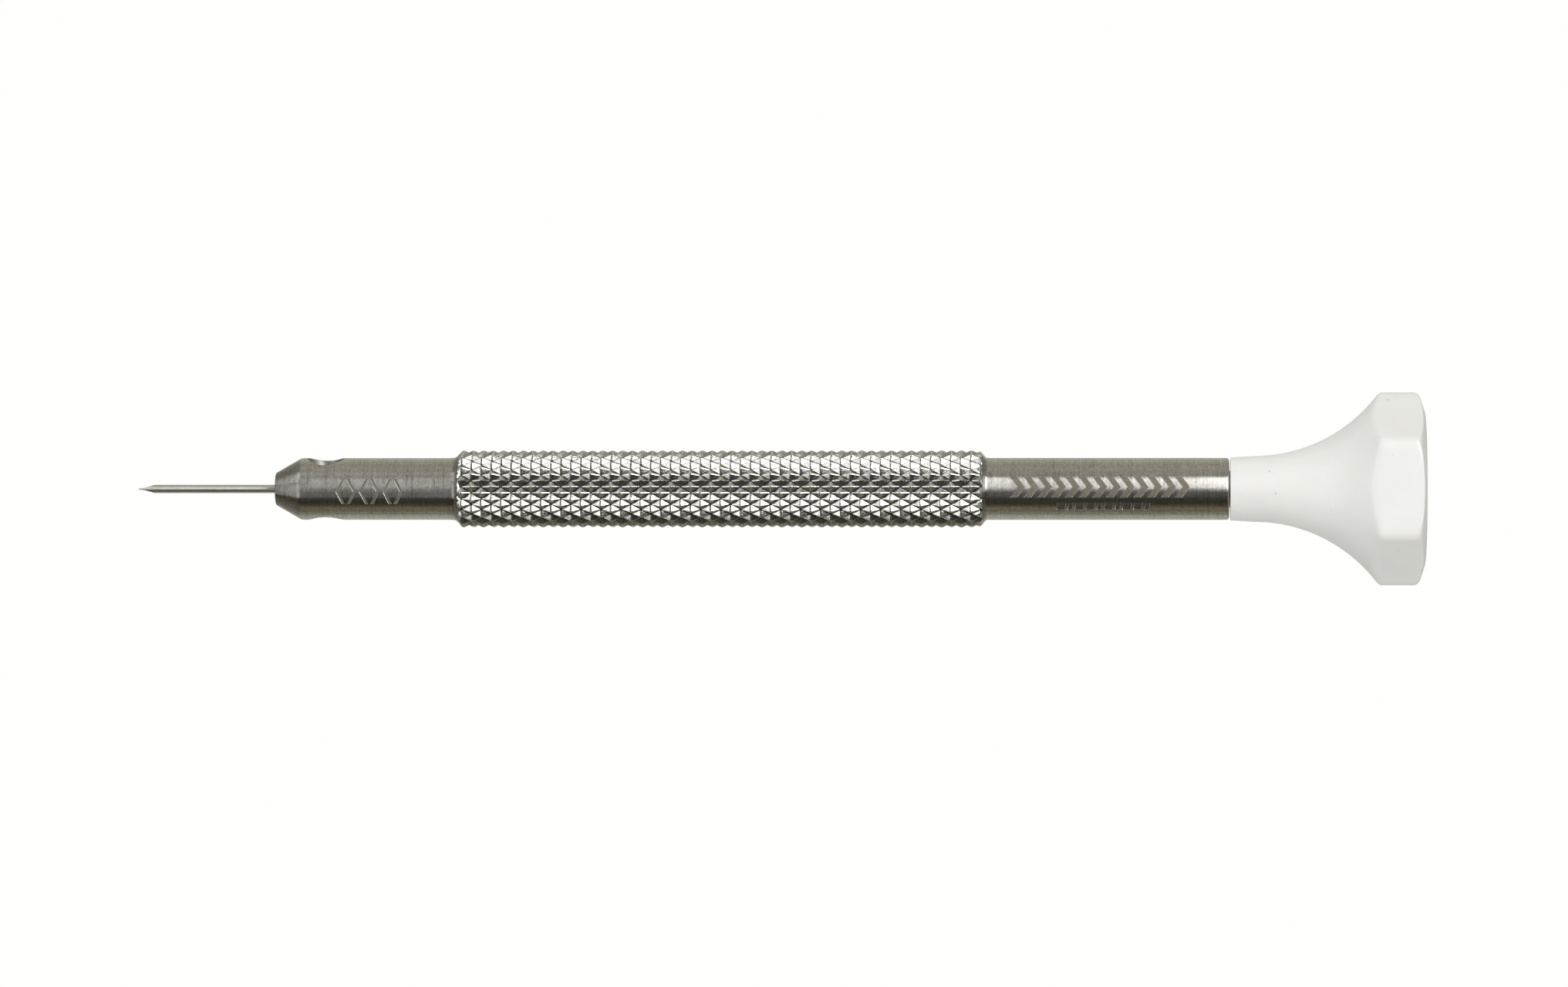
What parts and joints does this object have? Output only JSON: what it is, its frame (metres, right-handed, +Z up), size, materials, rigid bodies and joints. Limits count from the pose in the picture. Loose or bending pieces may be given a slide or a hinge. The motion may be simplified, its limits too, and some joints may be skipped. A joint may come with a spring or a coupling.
{
  "type": "watchmaker screwdriver",
  "caption": "Slim precision slotted screwdriver: clamped wire blade, knurled steel handle and a free-turning flared hexagonal white head on a ball bearing.",
  "frame": {"origin": "centre of the blade tip's end face", "axes": "+X along the tool from the blade tip to the head, +Z up, away from the flat of the head that the tool rests on"},
  "size_m": [0.0902, 0.0134, 0.0118],
  "materials": {
    "handle_steel": "fine-turned satin, bright knurl",
    "blade_steel": "drawn wire, ground tip",
    "screw_steel": "turned",
    "spindle_steel": "ground",
    "bearing_steel": "polished",
    "shield_steel": "rolled sheet",
    "cage_brass": "turned",
    "clip_steel": "spring steel",
    "white_plastic": "semi-gloss moulded, slightly warm white",
    "cap_plastic": "semi-gloss moulded, slightly warm white"
  },
  "bodies": {
    "handle": {"handle_body": "handle_steel", "head_spindle": "spindle_steel", "bearing_inner_ring": "bearing_steel", "retaining_clip": "clip_steel"},
    "head": {"head_shell": "white_plastic", "finger_cap": "cap_plastic", "bearing_outer_ring": "bearing_steel", "bearing_shield_front": "shield_steel", "bearing_shield_rear": "shield_steel"},
    "ball_cage": {"bearing_cage": "cage_brass", "bearing_ball_1": "bearing_steel", "bearing_ball_2": "bearing_steel", "bearing_ball_3": "bearing_steel", "bearing_ball_4": "bearing_steel", "bearing_ball_5": "bearing_steel", "bearing_ball_6": "bearing_steel", "bearing_ball_7": "bearing_steel"},
    "blade": {"blade": "blade_steel"},
    "clamp_screw_upper": {"clamp_screw_upper": "screw_steel"},
    "clamp_screw_lower": {"clamp_screw_lower": "screw_steel"}
  },
  "joints": [
    {"name": "head_spin", "type": "hinge", "parent": "handle", "child": "head", "pos_m": [0.07665, 0, 0], "axis": [1, 0, 0], "continuous": true},
    {"name": "cage_spin", "type": "hinge", "parent": "handle", "child": "ball_cage", "pos_m": [0.08595, 0, 0], "axis": [1, 0, 0], "continuous": true},
    {"name": "blade_slide", "type": "slide", "parent": "handle", "child": "blade", "axis": [-1, 0, 0], "range_m": [0, 0.0142]},
    {"name": "clamp_upper_turn", "type": "hinge", "parent": "handle", "child": "clamp_screw_upper", "pos_m": [0.01324, 0, 0], "axis": [0, 0.9903, 0.1392], "range_deg": [0, 810]},
    {"name": "clamp_lower_turn", "type": "hinge", "parent": "handle", "child": "clamp_screw_lower", "pos_m": [0.01324, 0, 0], "axis": [0, -0.9903, -0.1392], "range_deg": [0, 810]}
  ],
  "couplings": [
    {"joint": "cage_spin", "follows": "head_spin", "ratio": 0.6134}
  ]
}
